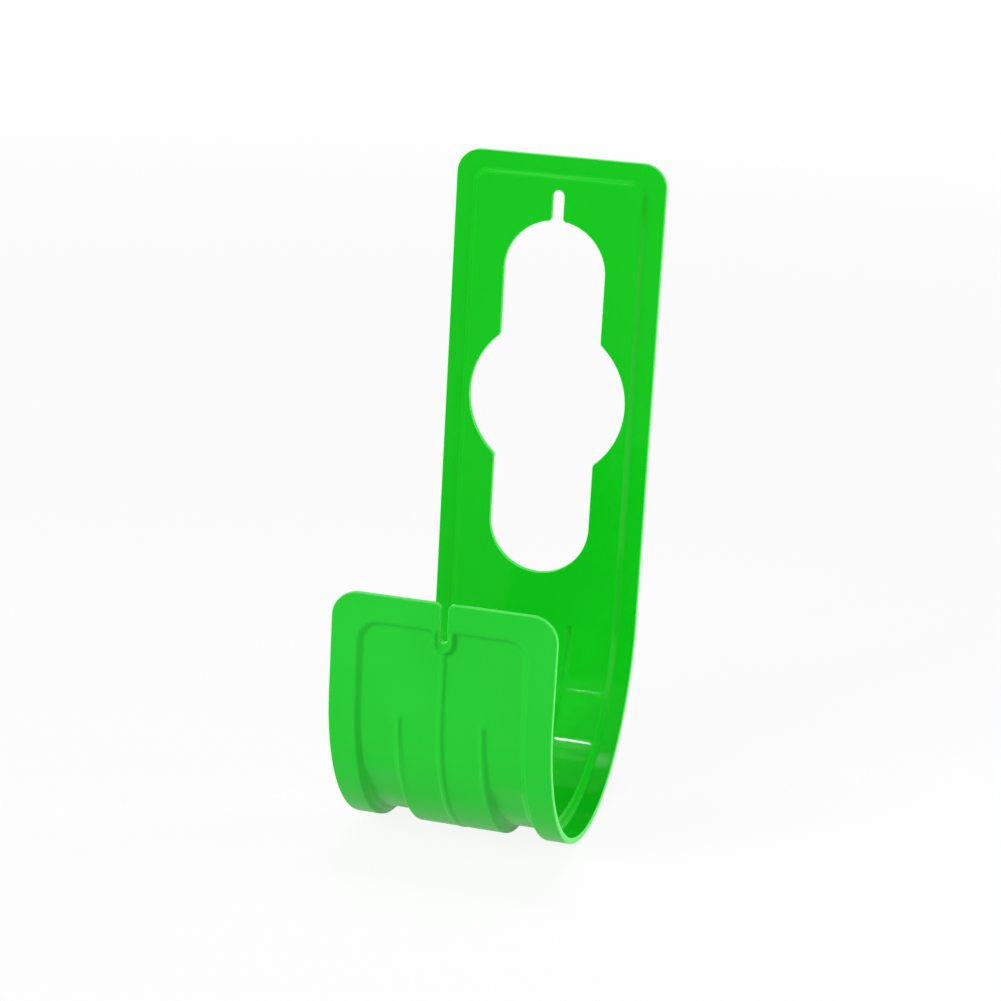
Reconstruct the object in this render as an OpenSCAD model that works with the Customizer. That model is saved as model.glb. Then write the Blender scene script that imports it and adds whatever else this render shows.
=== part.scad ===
/* [Overall size] */

// Width of the strip from side edge to side edge, in millimetres
strip_w = 105; // [100:1:115]
// Height from the top edge of the back to the lowest point of the bend
total_h = 312; // [290:1:335]
// Radius of the outer face of the bend, half of the depth from the wall to the front
bend_r = 83.5; // [78:0.5:85]
// Height of the front flap's free edge above the lowest point of the bend
flap_h = 132; // [128:1:140]
// Thickness of the moulded wall
wall = 3; // [2.4:0.1:3.2]
// Radius of the four outer corners
corner_r = 12; // [9:0.5:14]

/* [Raised centre] */

// Height of the raised centre above the flat border
rise = 2.5; // [2:0.1:2.8]
// Width of the flat border along the sides, on the wall face and the outside of the flap
side_border = 10.3; // [9.5:0.1:11]
// Width of the flat border along the top of the back, on the wall face
top_border = 9.6; // [9:0.1:11]
// Width of the flat border along the top of the flap, on its outside
flap_border = 11.2; // [10:0.1:12]
// Length over which the border slopes up to the raised centre
slope_run = 3.6; // [3:0.1:4]
// Sideways shift between the slope on the outside and the same slope on the inside
slope_shift = 1.8; // [1.4:0.1:2]
// Corner radius of the raised centre at the top of the back
back_turn_r = 7; // [6:0.5:8]
// Corner radius of the raised centre at the top of the flap
flap_turn_r = 11; // [9:0.5:12]

/* [Stiffened bend] */

// Height of each pad in the bend above the raised centre, towards the inside
pad_rise = 2.3; // [1.8:0.1:2.6]
// Angle below the start of the bend at which a pad starts to rise
pad_start_a = 28; // [25:1:30]
// Angle of the crease at which a pad's upper flat face turns into its lower, flatter one
pad_crease_a = 47; // [44:1:49]
// Angle at which a pad has its full height
pad_full_a = 58; // [54:1:62]
// Share of its height that a pad has at the crease
crease_share = 0.4; // [0.3:0.05:0.6]
// Length by which the strip between the pads is let down towards the outside
middle_drop = 2.4; // [1.6:0.1:2.5]

/* [Ribs] */

// Distance of the two short ribs from the middle
rib_x = 19.7; // [18:0.1:21]
// Radius of a rib's round ridge
rib_r = 2.2; // [1.9:0.1:2.4]
// Height of a rib above the face it stands on
rib_h = 1.2; // [0.8:0.1:1.4]
// Angle below the start of the bend at which the ribs end
rib_end_a = 6.4; // [5:0.2:9]
// Length by which the middle rib is let down in the bend
rib_drop = 1.2; // [0.9:0.1:1.4]

/* [Cut-out] */

// Radius of the round middle of the cut-out
round_r = 39.7; // [36:0.1:40]
// Half width of the two lobes above and below the round middle
lobe_r = 25.5; // [22:0.1:27]
// Depth of the upper lobe's centre below the screw
upper_drop = 37.5; // [36:0.1:40]
// Height of the solid band between the lower lobe and the start of the bend
band_h = 19; // [17:0.5:26]

/* [Screw slot] */

// Width of the slot that hangs on the screw
screw_w = 5.8; // [4.6:0.1:6.4]
// Height of the top edge above the middle of the screw
screw_below_top = 19.2; // [18:0.1:21]
// Radius of the two rounded corners where the slot opens into the cut-out
mouth_r = 1.5; // [1:0.1:2]

/* [Notch in the flap] */

// Width of the notch
notch_w = 3.7; // [3:0.1:4.4]
// Depth of the notch below the flap's free edge
notch_d = 18.4; // [16:0.1:20]
// Depth of the notch's flared mouth
flare_d = 7; // [5:0.1:8]
// Width of the flare on each side at the free edge
flare_w = 3; // [2:0.1:3.2]
// Half width of the flat rim round the notch
rim_half = 4.3; // [3.8:0.1:5]
// Length by which the rim's round end sits below the round end of the notch
rim_below = 2; // [0.5:0.1:3]
// Length over which the rim slopes down to the recessed centre
rim_run = 1.3; // [1.1:0.1:1.8]

/* [Hidden] */

$fn = 120;
// Facets of the small rounds
rib_facets = 32;
small_facets = 48;
// Length by which a cut runs past a face
past = 1;
// A gap too small to see, which keeps two rounds from meeting in a line
hair = 0.02;
half_w = strip_w / 2;
top_z = screw_below_top;
low_z = top_z - total_h;
bend_z = low_z + bend_r;
// The lower lobe ends above the bend, and the round middle sits half way between the lobes
lower_drop = -bend_z - band_h - lobe_r;
round_drop = (upper_drop + lower_drop) / 2;
flap_z = low_z + flap_h;
depth = 2 * bend_r;
// Depths are measured from the outer face towards the inside of the hook
centre_out = rise;
centre_in = rise + wall;
pad_out = centre_out + pad_rise;
pad_in = centre_in + pad_rise;
// Half widths of the raised centre on both faces
out_base = half_w - side_border;
out_rim = out_base - slope_run;
in_base = out_base + slope_shift;
in_rim = out_rim + slope_shift;
// Upright wall that joins a side of the bend to the strip let down between the pads
joint_w = 2.1;
joint_overlap = 0.4;
middle_in = rib_x - joint_overlap;
middle_out = middle_in + joint_w;
// Sides of a pad on its outer and inner face, and how deep it is sunk in the face it stands on
pad_run = 1.4;
pad_beside_joint = 0.5;
pad_beside_slope = 0.6;
pad_sunk = 1.3;
pad_near_out = middle_out + pad_beside_joint;
pad_near_in = pad_near_out - pad_sunk;
pad_far_out = out_rim - pad_beside_slope;
pad_far_in = in_rim - pad_beside_slope;
// Depth of the outer part of the wall, in which the ridges are rooted
ridge_root = centre_out + 0.5;
// Angle at which a short rib's groove has run out in the slope of a pad
groove_end_a = pad_start_a + 1.5;
// Radius of the round ends of the ribs, a little under the rib's own
rib_end_r = rib_r - 0.05;
// Middle of the notch's round end, and of the round end of its rim
notch_z = flap_z - notch_d + notch_w / 2;
rim_z = notch_z - rim_below;
green = [0.1, 0.74, 0.16];

// Turns a drawing of depth and height so that it runs across the strip
module across(from_x, to_x) {
  translate([from_x, 0, 0])
    rotate([90, 0, 90])
      linear_extrude(to_x - from_x)
        children();
}

// Revolves a drawing of radius and side distance round the middle of the bend
module round_bend(from_a, to_a, drop) {
  translate([0, -bend_r, bend_z - drop])
    rotate([90, 0, 90])
      rotate_extrude(angle = to_a - from_a, start = 360 - to_a)
        children();
}

// A point of the bend at an angle below its start at the wall and a depth from the outer face
function bend_point(angle, deep) =
  [(bend_r - deep) * cos(angle) - bend_r, bend_z - (bend_r - deep) * sin(angle)];

// Outline of the slope round the raised centre, as half width over depth
function centre_points(base, rim, deep_low, deep_base, deep_rim) =
  [[-base, deep_low], [base, deep_low], [base, deep_base],
   [rim, deep_rim], [-rim, deep_rim], [-base, deep_base]];

// Straight part of the raised centre with its sloped top and turned corners
// It is drawn from the face at depth 0 along +Y and upwards along +Z
module centre_block(base, rim, deep_low, deep_base, deep_rim, end_z, turn_r) {
  turn_x = base - turn_r;
  turn_z = end_z - turn_r;
  run = base - rim;
  translate([0, 0, bend_z])
    linear_extrude(turn_z - bend_z)
      polygon(centre_points(base, rim, deep_low, deep_base, deep_rim));
  across(-turn_x, turn_x)
    polygon([[deep_low, turn_z], [deep_low, end_z], [deep_base, end_z],
             [deep_rim, end_z - run], [deep_rim, turn_z]]);
  for (side = [-1, 1])
    translate([side * turn_x, 0, turn_z])
      rotate([-90, 0, 0])
        rotate_extrude(angle = 90, start = side < 0 ? 180 : 270)
          polygon([[0, deep_low], [turn_r, deep_low], [turn_r, deep_base],
                   [turn_r - run, deep_rim], [0, deep_rim]]);
}

// Flat plate with two rounded top corners, from the bend up to its free edge
module plate(end_z) {
  rotate([90, 0, 0])
    translate([0, 0, -wall])
      linear_extrude(wall) {
        translate([-half_w, bend_z])
          square([strip_w, end_z - corner_r - bend_z]);
        translate([corner_r - half_w, end_z - corner_r])
          square([strip_w - 2 * corner_r, corner_r]);
        for (side = [-1, 1])
          intersection() {
            translate([side * (half_w - corner_r), end_z - corner_r])
              circle(r = corner_r);
            translate([side * (half_w - corner_r / 2) - corner_r / 2, end_z - corner_r])
              square(corner_r);
          }
      }
}

// Flat plate with its embossed centre, seen with the outer face at depth 0
module embossed_plate(end_z, border, turn_r) {
  difference() {
    union() {
      plate(end_z);
      centre_block(in_base, in_rim, wall / 2, wall, centre_in,
                   end_z - border + slope_shift, turn_r + slope_shift);
    }
    centre_block(out_base, out_rim, -past, 0, centre_out, end_z - border, turn_r);
  }
}

// Rim round the notch, which keeps the level of the border
module notch_rim(half, deep) {
  slope = rim_run / rise;
  low = deep - past;
  high = deep + rise + past;
  low_half = half - slope * past;
  high_half = half + slope * (rise + past);
  translate([0, low, rim_z])
    rotate([-90, 0, 0])
      cylinder(h = high - low, r1 = low_half, r2 = high_half);
  translate([0, 0, rim_z])
    linear_extrude(flap_z - rim_z + past)
      polygon([[-low_half, low], [low_half, low], [high_half, high], [-high_half, high]]);
}

// Straight back with the wall at depth 0, turned to face the wall
module back() {
  rotate([0, 0, 180])
    embossed_plate(top_z, top_border, back_turn_r);
}

// Front flap with the rim of its notch
module flap() {
  translate([0, -depth, 0]) {
    difference() {
      embossed_plate(flap_z, flap_border, flap_turn_r);
      intersection() {
        notch_rim(rim_half + slope_shift / 2, wall);
        translate([-half_w, wall, bend_z])
          cube([strip_w, rise + past, flap_z - bend_z]);
      }
    }
    intersection() {
      notch_rim(rim_half, 0);
      translate([-half_w, 0, bend_z])
        cube([strip_w, wall, flap_z - flap_border + past - bend_z]);
    }
  }
}

// Cross-section of one side of the bend, as radius over side distance
module side_section() {
  polygon([for (p = [[middle_out, centre_out], [out_rim, centre_out], [out_base, 0], [half_w, 0],
                     [half_w, wall], [in_base, wall], [in_rim, centre_in], [middle_out, centre_in]])
           [bend_r - p[1], p[0]]]);
}

// Ring between two depths that ends on the two flat faces of a pad, with the crease between them
module pad_ring(shallow, deep) {
  level = deep - pad_rise;
  start = bend_point(pad_start_a, level);
  crease = bend_point(pad_crease_a, level + pad_rise * crease_share);
  full = bend_point(pad_full_a, deep);
  outside_ring = start + (start - crease) / 2;
  right = [outside_ring, crease, full];
  left = [for (i = [2, 1, 0]) [-depth - right[i][0], right[i][1]]];
  intersection() {
    difference() {
      translate([-bend_r, bend_z])
        circle(r = bend_r - shallow);
      translate([-bend_r, bend_z])
        circle(r = bend_r - deep);
    }
    polygon(concat(right, left, [[-depth, low_z - past], [0, low_z - past]]));
  }
}

// Pad on one side of the bend, drawn from the near side to the far side
module pad(near, far, shallow, deep) {
  level = deep - pad_rise;
  intersection() {
    across(near - past, far + past)
      pad_ring(shallow, deep);
    round_bend(0, 180, 0)
      polygon([for (p = [[near, shallow - past], [far, shallow - past], [far, level],
                         [far - pad_run, deep], [far - pad_run, deep + past],
                         [near + pad_run, deep + past], [near + pad_run, deep], [near, level]])
               [bend_r - p[1], p[0]]]);
  }
}

// Depth and height drawing of the space inside a face that is let down in the bend
module let_down_space(deep) {
  low = bend_z - middle_drop;
  intersection() {
    translate([-bend_r, low])
      circle(r = bend_r - deep);
    translate([-depth, low_z - past])
      square([depth, low - low_z + past]);
  }
  translate([deep - depth, low])
    square([depth - 2 * deep, middle_drop]);
}

// One side of the bend with its pad and the wall that joins it to the middle
module bend_side() {
  difference() {
    union() {
      round_bend(0, 180, 0)
        side_section();
      across(middle_in, middle_out)
        difference() {
          let_down_space(centre_out);
          translate([-bend_r, bend_z])
            circle(r = bend_r - centre_in);
        }
      pad(pad_near_in, pad_far_in, centre_in - pad_sunk, pad_in);
    }
    pad(pad_near_out, pad_far_out, centre_out - pad_sunk, pad_out);
  }
}

// Round bend between the back and the flap
module bend() {
  bend_side();
  mirror([1, 0, 0])
    bend_side();
  across(-middle_in, middle_in)
    difference() {
      let_down_space(centre_out);
      let_down_space(centre_in);
    }
}

// Round bar along the bend with its two round ends, at a depth of its middle
module bar_round(side_x, deep, from_a, to_a, drop) {
  round_bend(from_a, to_a, drop)
    translate([bend_r - deep, side_x])
      circle(r = rib_r, $fn = rib_facets);
}

// Round end of a bar at an angle of the bend
module bar_end(side_x, deep, angle, drop) {
  spot = bend_point(angle, deep);
  translate([side_x, spot[0], spot[1] - drop])
    sphere(r = rib_end_r, $fn = rib_facets);
}

// Short rib at one side, with the ridge on the outside
module short_ridge(side_x) {
  deep = centre_out - rib_h + rib_r;
  intersection() {
    union() {
      bar_round(side_x, deep, rib_end_a, 180 - rib_end_a, 0);
      bar_end(side_x, deep, rib_end_a, 0);
      bar_end(side_x, deep, 180 - rib_end_a, 0);
    }
    outer_shell();
  }
}

// Everything outside of the middle of the wall, so that a ridge stays off the inside
module outer_shell() {
  across(-half_w, half_w)
    difference() {
      translate([-depth - past, low_z - past])
        square([depth + 2 * past, flap_z - low_z]);
      intersection() {
        translate([-bend_r, bend_z])
          circle(r = bend_r - ridge_root);
        translate([-depth, low_z])
          square([depth, bend_r]);
      }
      translate([ridge_root - depth, bend_z])
        square([depth - 2 * ridge_root, flap_h]);
    }
}

// Groove on the inside behind a short rib, one at each end of it, that runs into the pads' slopes
module short_groove(side_x) {
  deep = centre_in - rib_h + rib_r;
  bar_round(side_x, deep, rib_end_a, groove_end_a, 0);
  bar_round(side_x, deep, 180 - groove_end_a, 180 - rib_end_a, 0);
  bar_end(side_x, deep, rib_end_a, 0);
  bar_end(side_x, deep, 180 - rib_end_a, 0);
}

// Middle rib from the notch down the flap and round the bend, at a depth of its middle
module middle_bar(deep, top) {
  translate([0, deep - depth, bend_z - rib_drop])
    cylinder(h = top - bend_z + rib_drop, r = rib_r, $fn = rib_facets);
  bar_round(0, deep, rib_end_a, 180, rib_drop);
  bar_end(0, deep, rib_end_a, rib_drop);
}

// Outline of the big cut-out with the screw slot above it
module cut_out_outline() {
  translate([0, -round_drop])
    circle(r = round_r);
  translate([0, -upper_drop])
    circle(r = lobe_r);
  translate([0, -lower_drop])
    circle(r = lobe_r);
  translate([-lobe_r, -lower_drop])
    square([2 * lobe_r, lower_drop - upper_drop]);
  circle(d = screw_w, $fn = small_facets);
  translate([-screw_w / 2, -upper_drop])
    square([screw_w, upper_drop]);
  for (side = [-1, 1])
    mirror([side < 0 ? 1 : 0, 0])
      slot_mouth();
}

// Rounded corner where the screw slot opens into the upper lobe
module slot_mouth() {
  mouth_x = screw_w / 2 + mouth_r;
  mouth_z = sqrt(pow(lobe_r + mouth_r, 2) - pow(mouth_x, 2)) - upper_drop;
  touch = lobe_r / (lobe_r + mouth_r);
  difference() {
    polygon([[0, mouth_z], [mouth_x, mouth_z],
             [mouth_x * touch, (mouth_z + upper_drop) * touch - upper_drop],
             [0, (mouth_z + upper_drop) * touch - upper_drop]]);
    translate([mouth_x, mouth_z])
      circle(r = mouth_r - hair, $fn = small_facets);
  }
}

// Outline of the notch with its flared mouth
module notch_outline() {
  flare_r = (pow(flare_d, 2) + pow(flare_w, 2)) / (2 * flare_w);
  translate([0, notch_z])
    circle(d = notch_w, $fn = small_facets);
  translate([-notch_w / 2, notch_z])
    square([notch_w, flap_z - notch_z + past]);
  difference() {
    translate([-notch_w / 2 - flare_w, flap_z - flare_d])
      square([notch_w + 2 * flare_w, flare_d + past]);
    for (side = [-1, 1])
      translate([side * (notch_w / 2 + flare_r), flap_z - flare_d])
        circle(r = flare_r - hair);
  }
}

// Whole hanger, one moulded piece
module hanger() {
  color(green)
    difference() {
      union() {
        back();
        bend();
        flap();
        short_ridge(-rib_x);
        short_ridge(rib_x);
        intersection() {
          middle_bar(centre_out - rib_h + rib_r, rim_z - rim_half);
          outer_shell();
        }
      }
      short_groove(-rib_x);
      short_groove(rib_x);
      middle_bar(centre_in - rib_h + rib_r, rim_z - rim_half - rim_run - rib_r);
      translate([0, past, 0])
        rotate([90, 0, 0])
          linear_extrude(centre_in + 2 * past)
            cut_out_outline();
      translate([0, centre_in + past - depth, 0])
        rotate([90, 0, 0])
          linear_extrude(centre_in + 2 * past)
            notch_outline();
    }
}

hanger();
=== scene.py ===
import math

import bpy
from mathutils import Matrix, Vector


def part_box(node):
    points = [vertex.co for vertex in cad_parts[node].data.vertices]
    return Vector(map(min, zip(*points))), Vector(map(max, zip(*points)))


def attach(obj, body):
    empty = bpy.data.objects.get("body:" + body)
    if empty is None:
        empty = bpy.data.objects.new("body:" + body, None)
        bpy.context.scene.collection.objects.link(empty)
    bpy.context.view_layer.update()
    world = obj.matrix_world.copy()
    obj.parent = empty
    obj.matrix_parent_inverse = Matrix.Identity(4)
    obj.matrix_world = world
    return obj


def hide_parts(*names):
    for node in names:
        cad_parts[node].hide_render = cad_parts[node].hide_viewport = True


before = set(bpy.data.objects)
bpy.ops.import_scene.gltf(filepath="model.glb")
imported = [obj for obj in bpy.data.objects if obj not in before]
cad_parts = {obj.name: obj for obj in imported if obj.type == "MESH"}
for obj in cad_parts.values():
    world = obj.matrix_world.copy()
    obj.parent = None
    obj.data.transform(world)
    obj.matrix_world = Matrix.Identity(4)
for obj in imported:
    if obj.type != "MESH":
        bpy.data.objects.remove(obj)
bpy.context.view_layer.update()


# The hanger starts as a flat blank: one strip of polypropylene, 3 mm thick, with four rounded
# corners. Its upper part already hangs where the back of the finished hanger is, and the rest
# runs on straight down, as long as the outside of the saddle and the flap are.
low, high = (Vector(corner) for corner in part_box("hanger"))
strip_width = high.x - low.x
saddle_radius = (high.y - low.y) / 2
wall = 0.003
corner_radius = 0.012
top = high.z
saddle_top = low.z + saddle_radius
flap_height = 0.1320
back_length = top - saddle_top
saddle_length = math.pi * saddle_radius
flap_length = flap_height - saddle_radius
blank_length = back_length + saddle_length + flap_length
blank_end = top - blank_length
edge_rounding = 0.00045
same_place = 1e-6


def edit(piece):
    """Makes the piece the only one selected and opens it in edit mode."""
    bpy.ops.object.select_all(action="DESELECT")
    bpy.context.view_layer.objects.active = piece
    piece.select_set(True)
    bpy.ops.object.mode_set(mode="EDIT")


def pick(piece, kind, wanted):
    """Selects the piece's vertices, edges or faces for which wanted is true, in edit mode."""
    bpy.ops.mesh.select_mode(type=kind)
    bpy.ops.mesh.select_all(action="DESELECT")
    bpy.ops.object.mode_set(mode="OBJECT")
    mesh = piece.data
    parts = {"VERT": mesh.vertices, "EDGE": mesh.edges, "FACE": mesh.polygons}[kind]
    for part in parts:
        part.select = wanted(mesh, part)
    bpy.ops.object.mode_set(mode="EDIT")


def upright(mesh, edge):
    """Whether an edge runs through the thickness of the flat blank."""
    a, b = (mesh.vertices[index].co for index in edge.vertices)
    return abs(a.z - b.z) > wall / 2 and (a - b).xy.length < same_place


bpy.ops.object.select_all(action="DESELECT")
bpy.ops.mesh.primitive_cube_add(
    size=1, location=(0, (top + blank_end) / 2, wall / 2), scale=(strip_width, blank_length, wall))
hanger = bpy.context.object
hanger.name = "hanger_strip"
bpy.ops.object.transform_apply(location=True, rotation=True, scale=True)
edit(hanger)
pick(hanger, "EDGE", upright)
bpy.ops.mesh.bevel(offset=corner_radius, segments=20, affect="EDGES")
bpy.ops.object.mode_set(mode="OBJECT")


# The openings are moulded in: a keyed cut-out with a round middle and a lobe above and below,
# the narrow slot that hangs on the screw, and the notch in the flap's free edge. Each is cut
# through the flat blank with plain round and square tools.
round_radius = 0.0397
round_middle = -0.1013
lobe_radius = 0.0255
upper_lobe = -0.0375
lower_lobe = -0.1648
screw_middle = 0
screw_slot_width = 0.0058
mouth_rounding = 0.0015
shoulder_rounding = 0.0012
notch_width = 0.0037
notch_depth = 0.0184
notch_end = blank_end + notch_depth - notch_width / 2
notch_flare = 0.0026
tool_depth = 4 * wall
tool_margin = 0.0004


def cut(tool):
    """Cuts the tool out of the blank and throws the tool away."""
    modifier = hanger.modifiers.new("cut", "BOOLEAN")
    modifier.operation = "DIFFERENCE"
    modifier.solver = "EXACT"
    modifier.object = tool
    bpy.ops.object.select_all(action="DESELECT")
    bpy.context.view_layer.objects.active = hanger
    hanger.select_set(True)
    bpy.ops.object.modifier_apply(modifier=modifier.name)
    bpy.data.objects.remove(tool, do_unlink=True)


def cut_round(height, radius, steps):
    bpy.ops.mesh.primitive_cylinder_add(
        vertices=steps, radius=radius, depth=tool_depth, location=(0, height, wall / 2))
    cut(bpy.context.object)


def cut_square(height_from, height_to, width):
    bpy.ops.mesh.primitive_cube_add(
        size=1, location=(0, (height_from + height_to) / 2, wall / 2),
        scale=(width, height_to - height_from, tool_depth))
    cut(bpy.context.object)


def upright_at(*places):
    """Tells pick which edges through the thickness stand at one of the places."""
    def wanted(mesh, edge):
        a = mesh.vertices[edge.vertices[0]].co
        near = any((a.xy - Vector(place)).length < tool_margin for place in places)
        return near and upright(mesh, edge)
    return wanted


cut_round(round_middle, round_radius, steps=120)
cut_round(upper_lobe, lobe_radius, steps=112)
cut_round(lower_lobe, lobe_radius, steps=112)
cut_square(lower_lobe, upper_lobe, 2 * lobe_radius)
cut_round(screw_middle, screw_slot_width / 2, steps=32)
cut_square(upper_lobe, screw_middle, screw_slot_width)
cut_round(notch_end, notch_width / 2, steps=32)
cut_square(blank_end - wall, notch_end, notch_width)

edit(hanger)
bpy.ops.mesh.select_all(action="SELECT")
bpy.ops.mesh.remove_doubles(threshold=10 * same_place)
bpy.ops.mesh.select_all(action="SELECT")
bpy.ops.mesh.dissolve_limited(angle_limit=math.radians(0.5))
slot_half = screw_slot_width / 2
mouth_height = upper_lobe + math.sqrt(lobe_radius ** 2 - slot_half ** 2)
pick(hanger, "EDGE", upright_at((slot_half, mouth_height), (-slot_half, mouth_height)))
bpy.ops.mesh.bevel(offset=mouth_rounding, segments=6, affect="EDGES")
shoulder = math.sqrt(round_radius ** 2 - lobe_radius ** 2)
shoulders = [(side * lobe_radius, round_middle + way * shoulder)
             for side in (-1, 1) for way in (-1, 1)]
pick(hanger, "EDGE", upright_at(*shoulders))
bpy.ops.mesh.bevel(offset=shoulder_rounding, segments=4, affect="EDGES")
pick(hanger, "EDGE", upright_at((notch_width / 2, blank_end), (-notch_width / 2, blank_end)))
bpy.ops.mesh.bevel(offset=notch_flare, segments=8, affect="EDGES")


# Every edge of a moulded part is a little round, where the mould was polished. So the outline
# of the strip and of each opening is rounded, on the outside and on the inside.
def on_rim(mesh, edge):
    a, b = (mesh.vertices[index].co for index in edge.vertices)
    flat = abs(a.z - b.z) < same_place
    return flat and edge.index in rim_edges


bpy.ops.object.mode_set(mode="OBJECT")
side_faces = [face for face in hanger.data.polygons if abs(face.normal.z) < 0.5]
edge_of = {edge.key: edge.index for edge in hanger.data.edges}
rim_edges = {edge_of[key] for face in side_faces for key in face.edge_keys}
edit(hanger)
pick(hanger, "EDGE", on_rim)
bpy.ops.mesh.bevel(offset=edge_rounding, segments=3, affect="EDGES", clamp_overlap=False)
bpy.ops.object.mode_set(mode="OBJECT")


# The flat blank is cut into a grid, close where a step, a rib or a ramp will be pressed, and
# wide where the strip stays plain. Distances are in millimetres along the strip and across it.
metre = 1000


def stations(start, zones):
    """Stops on the way through zones of (end, largest step), without the start and last end."""
    stops = []
    here = start
    for end, largest in zones:
        count = max(1, math.ceil((end - here) / largest))
        stops += [here + (end - here) * (k + 1) / count for k in range(count)]
        here = end
    return stops[:-1]


half_width = strip_width * metre / 2
side_stops = stations(0.21, [(3.1, 0.42), (7.3, 0.6), (17.1, 2.6), (24.2, 0.45), (33.6, 2.4),
                             (46.3, 0.45), (half_width + 2, 2.2)])
saddle_start = back_length * metre
saddle_end = saddle_start + saddle_length * metre
strip_end = blank_length * metre
degree = saddle_length * metre / 180
long_stops = stations(0.9, [
    (5.3, 1.5), (21.7, 0.6), (saddle_start - 6, 7.5), (saddle_start + 0.1, 2),
    (saddle_start + 11 * degree, 0.9), (saddle_start + 26 * degree, 2.4),
    (saddle_start + 31 * degree, 0.9), (saddle_start + 44 * degree, 2.4),
    (saddle_start + 50 * degree, 0.6), (saddle_start + 60 * degree, 1.5),
    (saddle_start + 120 * degree, 2.4), (saddle_start + 136 * degree, 1.5),
    (saddle_start + 154 * degree, 1.5), (saddle_start + 169 * degree, 2.4),
    (saddle_end + 0.1, 0.9), (strip_end - 28.5, 2.2), (strip_end - 8.3, 0.6),
    (strip_end - 0.9, 1.2), (strip_end, 1)])

edit(hanger)
bpy.ops.mesh.select_mode(type="FACE")


def score(place, normal):
    """Adds a line of edges where a plane cuts the strip."""
    bpy.ops.mesh.select_all(action="SELECT")
    bpy.ops.mesh.bisect(plane_co=place, plane_no=normal, threshold=same_place)


for stop in long_stops:
    score((0, top - stop / metre, 0), (0, 1, 0))
for stop in side_stops:
    for side in (-1, 1):
        score((side * stop / metre, 0, 0), (1, 0, 0))
bpy.ops.object.mode_set(mode="OBJECT")


# The centre of the strip is pressed in towards the inside of the hook and leaves a flat border.
# The step between them is a soft slope that turns the corners, and it draws in from the back
# to the flap. This is in millimetres on the flat blank, and in degrees round the saddle.
rise = 2.5
wall_mm = wall * metre
back_border = 41.6
flap_border = 38.8
back_slope = 3.2
saddle_slope = 2.6
flap_slope = 3.8
back_end = 10.8
back_turn = 5.5
flap_end = strip_end - 13.4
flap_turn = 9.0
border_changes = (40, 185)
back_slope_changes = (0, 90)
flap_slope_changes = (155, 195)


def ramp(value, soft=0.32):
    """Goes from 0 to 1 as value does, straight in the middle and rounded at both ends."""
    steep = 1 / (1 - soft)
    if value <= 0:
        return 0.0
    if value >= 1:
        return 1.0
    if value < soft:
        return steep * value * value / (2 * soft)
    if value > 1 - soft:
        return 1 - steep * (1 - value) ** 2 / (2 * soft)
    return steep * (value - soft / 2)


def step_up(beyond, slope):
    """Goes from 0 to 1 over a slope whose middle is where beyond is 0."""
    return ramp(beyond / slope + 0.5)


def between(value, start, end):
    return min(1.0, max(0.0, (value - start) / (end - start)))


def ease(value, start, end):
    """Goes softly from 0 at the start to 1 at the end, which may be either side of the start."""
    part = between(value, start, end)
    return part * part * (3 - 2 * part)


def saddle_angle(along):
    return (along - saddle_start) / degree


def border_at(along):
    """Distance of the step from the middle of the strip, and the length of its slope."""
    angle = saddle_angle(along)
    distance = back_border + (flap_border - back_border) * ease(angle, *border_changes)
    slope = back_slope + (saddle_slope - back_slope) * ease(angle, *back_slope_changes)
    slope += (flap_slope - saddle_slope) * ease(angle, *flap_slope_changes)
    return distance, slope


def inside_border(across, along):
    """Distance from the middle of the step's slope to a place inside it, and the slope's length."""
    distance, slope = border_at(along)
    if along < saddle_start:
        end, turn = along - back_end, back_turn
    else:
        end, turn = flap_end - along, flap_turn
    side = distance - across
    if side < turn and end < turn:
        inside = turn - math.hypot(turn - side, turn - end)
    else:
        inside = min(side, end)
    return inside, slope


def lean(slope, height):
    """How far the inside of a slope is shifted, so that the wall keeps its thickness."""
    return wall_mm * math.tan(math.atan2(height, slope) / 2)


# Round the notch, a small rim keeps the level of the border. Next to the notch it is pressed
# in a little, which leaves a bead that follows the notch.
notch_rim = 4.95
notch_slope = 1.4
rim_below_notch = 2.0
bead_inside = 3.2
bead_slope = 1.3
bead_height = 1.2
bead_fade = 1.5
rim_round = strip_end - notch_depth * metre + notch_width * metre / 2 - rim_below_notch


def outside_rim(across, along):
    """Distance from the rim's own edge to a place beyond it."""
    return math.hypot(across, max(0.0, rim_round - along)) - notch_rim


def behind_bead(across, along):
    """Depth of the hollow between the bead and the notch."""
    beyond = notch_rim - bead_inside + outside_rim(across, along)
    below_border = ease(along, flap_end + bead_fade, flap_end - bead_fade)
    return bead_height * (1 - step_up(beyond, bead_slope)) * below_border


# Two pads in the saddle are pressed further in, between the border and the short ribs. Each
# begins with two nearly flat faces, and the light catches in the crease between them. The strip
# between the pads is let down towards the outside.
pad_rise = 2.3
pad_start = 28.7
pad_crease = 46.2
pad_full = 58.5
crease_share = 0.4
crease_round = 2.4
start_round = 0.3
pad_near = 21.6
pad_far_back = 40.6
pad_far_flap = 37.2
pad_narrows = (50, 130)
pad_slope = 2.2
middle_drop = 2.4


def flat_face(angle, start, start_height, end, end_height):
    """Height over the bare saddle of a flat face that runs from one angle to another."""
    bare = saddle_radius * metre - rise - wall_mm
    a, b = (Vector((math.cos(math.radians(at)), math.sin(math.radians(at)))) * (bare - height)
            for at, height in ((start, start_height), (end, end_height)))
    normal = Vector((b.y - a.y, a.x - b.x))
    ray = Vector((math.cos(math.radians(angle)), math.sin(math.radians(angle))))
    return bare - a.dot(normal) / ray.dot(normal)


def larger(a, b, soft):
    """The larger of two heights, with a round corner where they are the same."""
    return max(a, b) + max(0.0, soft - abs(a - b)) ** 2 / (4 * soft)


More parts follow.
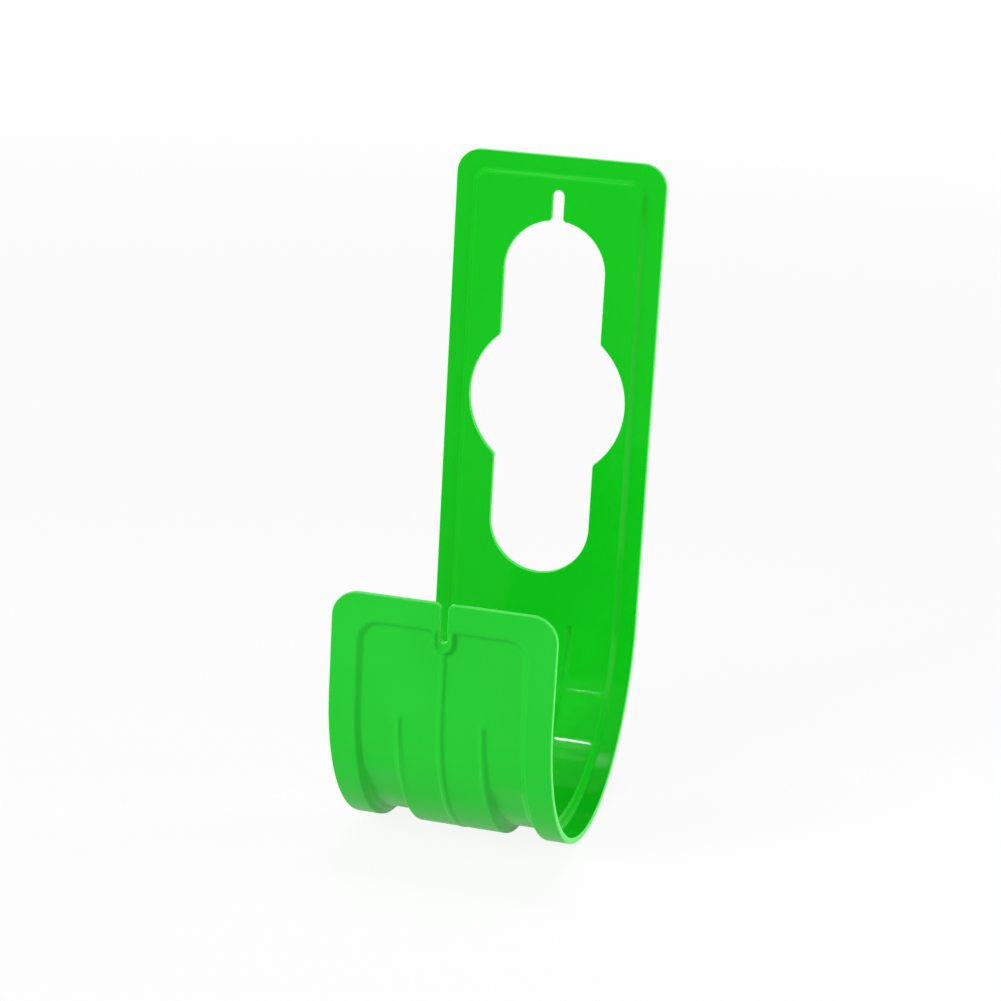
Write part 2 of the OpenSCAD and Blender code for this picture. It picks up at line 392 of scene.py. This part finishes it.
def pad_height(angle):
    """Height of a pad over the raised centre, the same towards the back and towards the flap."""
    angle = min(angle, 180 - angle)
    if angle >= pad_full:
        return pad_rise
    crease = crease_share * pad_rise
    upper = flat_face(angle, pad_start, 0, pad_crease, crease)
    lower = flat_face(angle, pad_crease, crease, pad_full, pad_rise)
    return min(pad_rise, larger(0, larger(upper, lower, crease_round), start_round))


def let_down(angle):
    """How far the strip between the pads lies outside the raised centre."""
    return middle_drop * math.sin(math.radians(min(180.0, max(0.0, angle))))


# Three ribs stiffen it: thin round ridges on the outside, with a groove behind each. The two
# short ones follow the saddle, and the middle one comes down from the notch.
rib_height = 1.65
rib_half_width = 2.2
short_rib_place = 19.7
rib_start_angle = 6.4
rib_start = saddle_start + rib_start_angle * degree
short_rib_end = saddle_end - rib_start_angle * degree
middle_rib_drop = 0.85
middle_rib_end = rim_round - notch_rim


def ridge(across, along, start, end):
    """Share of a rib's height, for a rib that runs from start to end along the strip."""
    beyond = max(0.0, start - along, along - end)
    return 1 - ramp(math.hypot(across, beyond) / rib_half_width)


def pressed(across, along, inner):
    """Depth of one face of the wall below the outside of the border, in millimetres."""
    angle = saddle_angle(along)
    inside, slope = inside_border(abs(across), along)
    rim = outside_rim(across, along)
    shift = lean(slope, rise) if inner else 0.0
    rim_shift = lean(notch_slope, rise) if inner else 0.0
    raised = step_up(inside + shift, slope) * step_up(rim + rim_shift, notch_slope)
    depth = rise * raised + behind_bead(across, along) * (1 - raised)
    short_height = middle_height = rib_height
    if 0 < angle < 180:
        steep = lean(pad_slope, rise + pad_rise) if inner else 0.0
        near = step_up(abs(across) - pad_near + steep, pad_slope)
        far = pad_far_back + (pad_far_flap - pad_far_back) * between(angle, *pad_narrows)
        apart = step_up(far - abs(across) + steep, pad_slope)
        drop = let_down(angle)
        depth += pad_height(angle) * near * apart * raised
        depth -= drop * (1 - near)
        short_height = max(0.0, rib_height - drop)
        middle_height = rib_height - max(0.0, drop - middle_rib_drop)
    ribs = short_height * ridge(abs(across) - short_rib_place, along, rib_start, short_rib_end)
    ribs += middle_height * ridge(across, along, rib_start, middle_rib_end)
    return depth - ribs * raised + (wall_mm if inner else 0.0)


# Last the strip is folded round the saddle, with its outside on the saddle's radius. Each
# point keeps its place across the strip, and lies as deep in the wall as it was pressed.
face_margin = 0.02


def folded(across, along, depth):
    """Place in the finished hanger, in metres, of a point of the flat blank."""
    out = saddle_radius * metre
    if along <= saddle_start:
        back, height = -depth, top * metre - along
    elif along < saddle_end:
        turn = math.radians(saddle_angle(along))
        back = (out - depth) * math.cos(turn) - out
        height = saddle_top * metre - (out - depth) * math.sin(turn)
    else:
        back, height = depth - 2 * out, saddle_top * metre + along - saddle_end
    return Vector((across, back, height)) / metre


inner_side = hanger.data.attributes.new("inner_side", "FLOAT", "POINT")
# This attribute marks the side walls, where a pale green is painted on as a highlight.
painted_highlight_edge = hanger.data.attributes.new("painted_highlight_edge", "FLOAT", "POINT")
for vertex in hanger.data.vertices:
    across = vertex.co.x * metre
    along = (top - vertex.co.y) * metre
    share = vertex.co.z / wall
    outer, inner = pressed(across, along, False), pressed(across, along, True)
    inner_side.data[vertex.index].value = share
    between_faces = face_margin < share < 1 - face_margin
    painted_highlight_edge.data[vertex.index].value = 1.0 if between_faces else 0.0
    vertex.co = folded(across, along, outer + (inner - outer) * share)
hanger.data.update()
bpy.ops.object.select_all(action="DESELECT")
bpy.context.view_layer.objects.active = hanger
hanger.select_set(True)
bpy.ops.object.shade_smooth()
weighted = hanger.modifiers.new("even shading", "WEIGHTED_NORMAL")
weighted.keep_sharp = True
weighted.weight = 50
bpy.ops.object.modifier_apply(modifier=weighted.name)


# The plastic is green polypropylene, coloured through. The mould left the outside satin and the
# inside polished, and the outside's green is painted a little paler as a sheen. Both are faintly
# wavy, with cloudy flow marks, and the side walls are painted a pale green as a highlight.
# The outside greens are painted paler than the inside ones, as a sheen.
satin_greens_painted_sheen = (0.012, 0.535, 0.026, 1), (0.018, 0.585, 0.034, 1)
polished_greens = (0.004, 0.480, 0.008, 1), (0.006, 0.530, 0.012, 1)
# A pale green painted on every side wall as a highlight.
painted_highlight_green = (0.050, 0.740, 0.065, 1)
satin_roughness = 0.38
polished_roughness = 0.07
satin_gloss = 0.12
polished_gloss = 0.07
wave_strength = 0.06
wave_depth = 0.0004
grain_strength = 0.5
grain_depth = 0.00003


def green_plastic():
    """The material of the whole hanger, which reads the side and the edges from the mesh."""
    material = bpy.data.materials.new("moulded_green")
    material.use_nodes = True
    nodes, links = material.node_tree.nodes, material.node_tree.links
    shader = nodes["Principled BSDF"]
    shader.inputs["IOR"].default_value = 1.49
    place = nodes.new("ShaderNodeTexCoord")
    side = nodes.new("ShaderNodeAttribute")
    side.attribute_name = "inner_side"
    # Reads the side walls, which get the painted highlight.
    edge = nodes.new("ShaderNodeAttribute")
    edge.attribute_name = "painted_highlight_edge"

    def noise(scale, detail):
        node = nodes.new("ShaderNodeTexNoise")
        node.inputs["Scale"].default_value = scale
        node.inputs["Detail"].default_value = detail
        links.new(place.outputs["Object"], node.inputs["Vector"])
        return node

    def ranged(source, low_value, high_value):
        node = nodes.new("ShaderNodeMapRange")
        node.inputs["To Min"].default_value = low_value
        node.inputs["To Max"].default_value = high_value
        links.new(source, node.inputs["Value"])
        return node.outputs["Result"]

    def mixed(share, a, b):
        """Mixes two colours, each given as a plain colour or as the outcome of another mix."""
        node = nodes.new("ShaderNodeMix")
        node.data_type = "RGBA"
        links.new(share, node.inputs["Factor"])
        for value, socket in ((a, node.inputs["A"]), (b, node.inputs["B"])):
            if isinstance(value, tuple):
                socket.default_value = value
            else:
                links.new(value, socket)
        return node.outputs["Result"]

    clouds = noise(scale=22, detail=5).outputs["Fac"]
    # The outside takes the paler greens of the painted sheen.
    outside = mixed(clouds, *satin_greens_painted_sheen)
    inside = mixed(clouds, *polished_greens)
    faces = mixed(side.outputs["Fac"], outside, inside)
    # The side walls take the pale green of the painted highlight.
    colour = mixed(edge.outputs["Fac"], faces, painted_highlight_green)
    roughness = ranged(side.outputs["Fac"], satin_roughness, polished_roughness)
    gloss = ranged(side.outputs["Fac"], satin_gloss, polished_gloss)
    links.new(colour, shader.inputs["Base Color"])
    links.new(roughness, shader.inputs["Roughness"])
    links.new(gloss, shader.inputs["Specular IOR Level"])
    waves = nodes.new("ShaderNodeBump")
    waves.inputs["Strength"].default_value = wave_strength
    waves.inputs["Distance"].default_value = wave_depth
    links.new(noise(scale=130, detail=3).outputs["Fac"], waves.inputs["Height"])
    grain = nodes.new("ShaderNodeBump")
    grain.inputs["Distance"].default_value = grain_depth
    links.new(ranged(side.outputs["Fac"], grain_strength, 0.0), grain.inputs["Strength"])
    links.new(noise(scale=2500, detail=2).outputs["Fac"], grain.inputs["Height"])
    links.new(waves.outputs["Normal"], grain.inputs["Normal"])
    links.new(grain.outputs["Normal"], shader.inputs["Normal"])
    return material


hanger.data.materials.clear()
hanger.data.materials.append(green_plastic())
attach(hanger, "root")
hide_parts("hanger")


# The hanger stands on a floor of white paper, which keeps its shadow. Further away the paper
# fades into the white backdrop, which looks brighter than the light that it gives.
floor_width = 30
floor_gap = 0.0002
paper_grey = 0.86
paper_roughness = 0.9
fade_start = 0.6
fade_end = 3.0
glow_near = 0.9
glow_far = 1.0
backdrop_light = 0.42
backdrop_white = 1.0


def looked_at(nodes, links):
    """Is 1 for a ray that looks at the studio, also by way of a gloss, and 0 for its light."""
    path = nodes.new("ShaderNodeLightPath")
    either = nodes.new("ShaderNodeMath")
    either.operation = "MAXIMUM"
    links.new(path.outputs["Is Camera Ray"], either.inputs[0])
    links.new(path.outputs["Is Glossy Ray"], either.inputs[1])
    any_of = nodes.new("ShaderNodeMath")
    any_of.operation = "MAXIMUM"
    links.new(either.outputs["Value"], any_of.inputs[0])
    links.new(path.outputs["Is Transmission Ray"], any_of.inputs[1])
    return any_of.outputs["Value"]


bpy.ops.mesh.primitive_plane_add(size=floor_width, location=(0, 0, low.z - floor_gap))
floor = bpy.context.object
floor.name = "floor"
paper = bpy.data.materials.new("white_paper")
paper.use_nodes = True
nodes, links = paper.node_tree.nodes, paper.node_tree.links
matt = nodes["Principled BSDF"]
matt.inputs["Base Color"].default_value = (paper_grey, paper_grey, paper_grey, 1)
matt.inputs["Roughness"].default_value = paper_roughness
glow = nodes.new("ShaderNodeEmission")
glow.inputs["Color"].default_value = (1, 1, 1, 1)
glow.inputs["Strength"].default_value = backdrop_white
place = nodes.new("ShaderNodeTexCoord")
distance = nodes.new("ShaderNodeVectorMath")
distance.operation = "LENGTH"
links.new(place.outputs["Object"], distance.inputs[0])
fade = nodes.new("ShaderNodeMapRange")
fade.inputs["From Min"].default_value = fade_start
fade.inputs["From Max"].default_value = fade_end
fade.inputs["To Min"].default_value = glow_near
fade.inputs["To Max"].default_value = glow_far
links.new(distance.outputs["Value"], fade.inputs["Value"])
share_glow = nodes.new("ShaderNodeMath")
share_glow.operation = "MULTIPLY"
links.new(looked_at(nodes, links), share_glow.inputs[0])
links.new(fade.outputs["Result"], share_glow.inputs[1])
blend = nodes.new("ShaderNodeMixShader")
links.new(share_glow.outputs["Value"], blend.inputs["Fac"])
links.new(matt.outputs["BSDF"], blend.inputs[1])
links.new(glow.outputs["Emission"], blend.inputs[2])
links.new(blend.outputs["Shader"], nodes["Material Output"].inputs["Surface"])
floor.data.materials.append(paper)

world = bpy.data.worlds.new("studio")
bpy.context.scene.world = world
world.use_nodes = True
nodes, links = world.node_tree.nodes, world.node_tree.links
sky = nodes["Background"]
sky.inputs["Color"].default_value = (1, 1, 1, 1)
brightness = nodes.new("ShaderNodeMapRange")
brightness.inputs["To Min"].default_value = backdrop_light
brightness.inputs["To Max"].default_value = backdrop_white
links.new(looked_at(nodes, links), brightness.inputs["Value"])
links.new(brightness.outputs["Result"], sky.inputs["Strength"])


# A large soft lamp stands in front at the viewer's left, and weaker ones light the side edges
# from the right and the inside of the saddle from above. Two small ones mirror in the polished
# inside along the steps, and two thin ones with a narrow beam draw the glints on the pads.
def lamp(name, place, target, size, power, in_gloss=False, beam=180):
    """Adds an area lamp that faces the target, with its power in watts and its beam in degrees."""
    bpy.ops.object.light_add(type="AREA", location=place)
    light = bpy.context.object
    light.name = name
    light.data.shape = "RECTANGLE"
    light.data.size, light.data.size_y = size
    light.data.energy = power
    light.data.spread = math.radians(beam)
    light.rotation_euler = (Vector(target) - Vector(place)).to_track_quat("-Z", "Y").to_euler()
    light.visible_camera = False
    light.visible_glossy = in_gloss


hanger_middle = (0, -saddle_radius, (low.z + high.z) / 2)
screw = (0, 0, 0)
right_step = Vector((0.041, -0.004, -0.06))
crease = Vector((0.0265, -0.0305, -0.2655))
start_of_pad = Vector((0.033, -0.0145, -0.2465))
lamp("key_lamp", (-1.25, -2.0, 0.85), hanger_middle, size=(0.9, 0.9), power=36)
lamp("side_lamp", (1.1, -0.35, 0.3), hanger_middle, size=(0.5, 0.9), power=1)
lamp("edge_lamp", (1.2, 0.30, -0.1), hanger_middle, size=(0.5, 0.3), power=4)
lamp("inside_lamp", (0, -saddle_radius, 0.95), hanger_middle, size=(0.3, 0.05), power=2.4)
lamp("top_mirror_lamp", (-0.105, -0.10, 0.49), screw, size=(0.2, 0.1), power=0.25, in_gloss=True)
lamp("right_mirror_lamp", right_step + Vector((0.333, -0.11, -0.11)), right_step,
     size=(0.26, 0.21), power=0.37, in_gloss=True)
lamp("crease_lamp", crease + Vector((-0.216, -0.117, 0.97)), crease,
     size=(0.02, 0.6), power=0.004, in_gloss=True, beam=3)
lamp("glint_lamp", start_of_pad + Vector((-0.213, -0.69, 0.69)), start_of_pad,
     size=(0.012, 0.06), power=0.00025, in_gloss=True, beam=2)


# The camera stands at the viewer's right, a little above the hanger, and is tilted slightly
# to one side. It looks at a point between the back and the flap, halfway up the hanger.
aim = Vector((0.0003, -0.0826, -0.1338))
camera_distance = 1.2207
camera_azimuth = math.radians(15.07)
camera_elevation = math.radians(15.25)
camera_roll = math.radians(3.22)
camera_turn = (Matrix.Rotation(camera_azimuth, 3, "Z")
               @ Matrix.Rotation(math.pi / 2 - camera_elevation, 3, "X")
               @ Matrix.Rotation(camera_roll, 3, "Z"))
camera_place = aim + camera_turn @ Vector((0, 0, camera_distance))
bpy.ops.object.camera_add()
camera = bpy.context.object
camera.matrix_world = Matrix.Translation(camera_place) @ camera_turn.to_4x4()
camera.data.lens = 93.31
camera.data.sensor_width = 36
camera.data.clip_end = 60
bpy.context.scene.camera = camera
bpy.context.scene.view_settings.view_transform = "Standard"
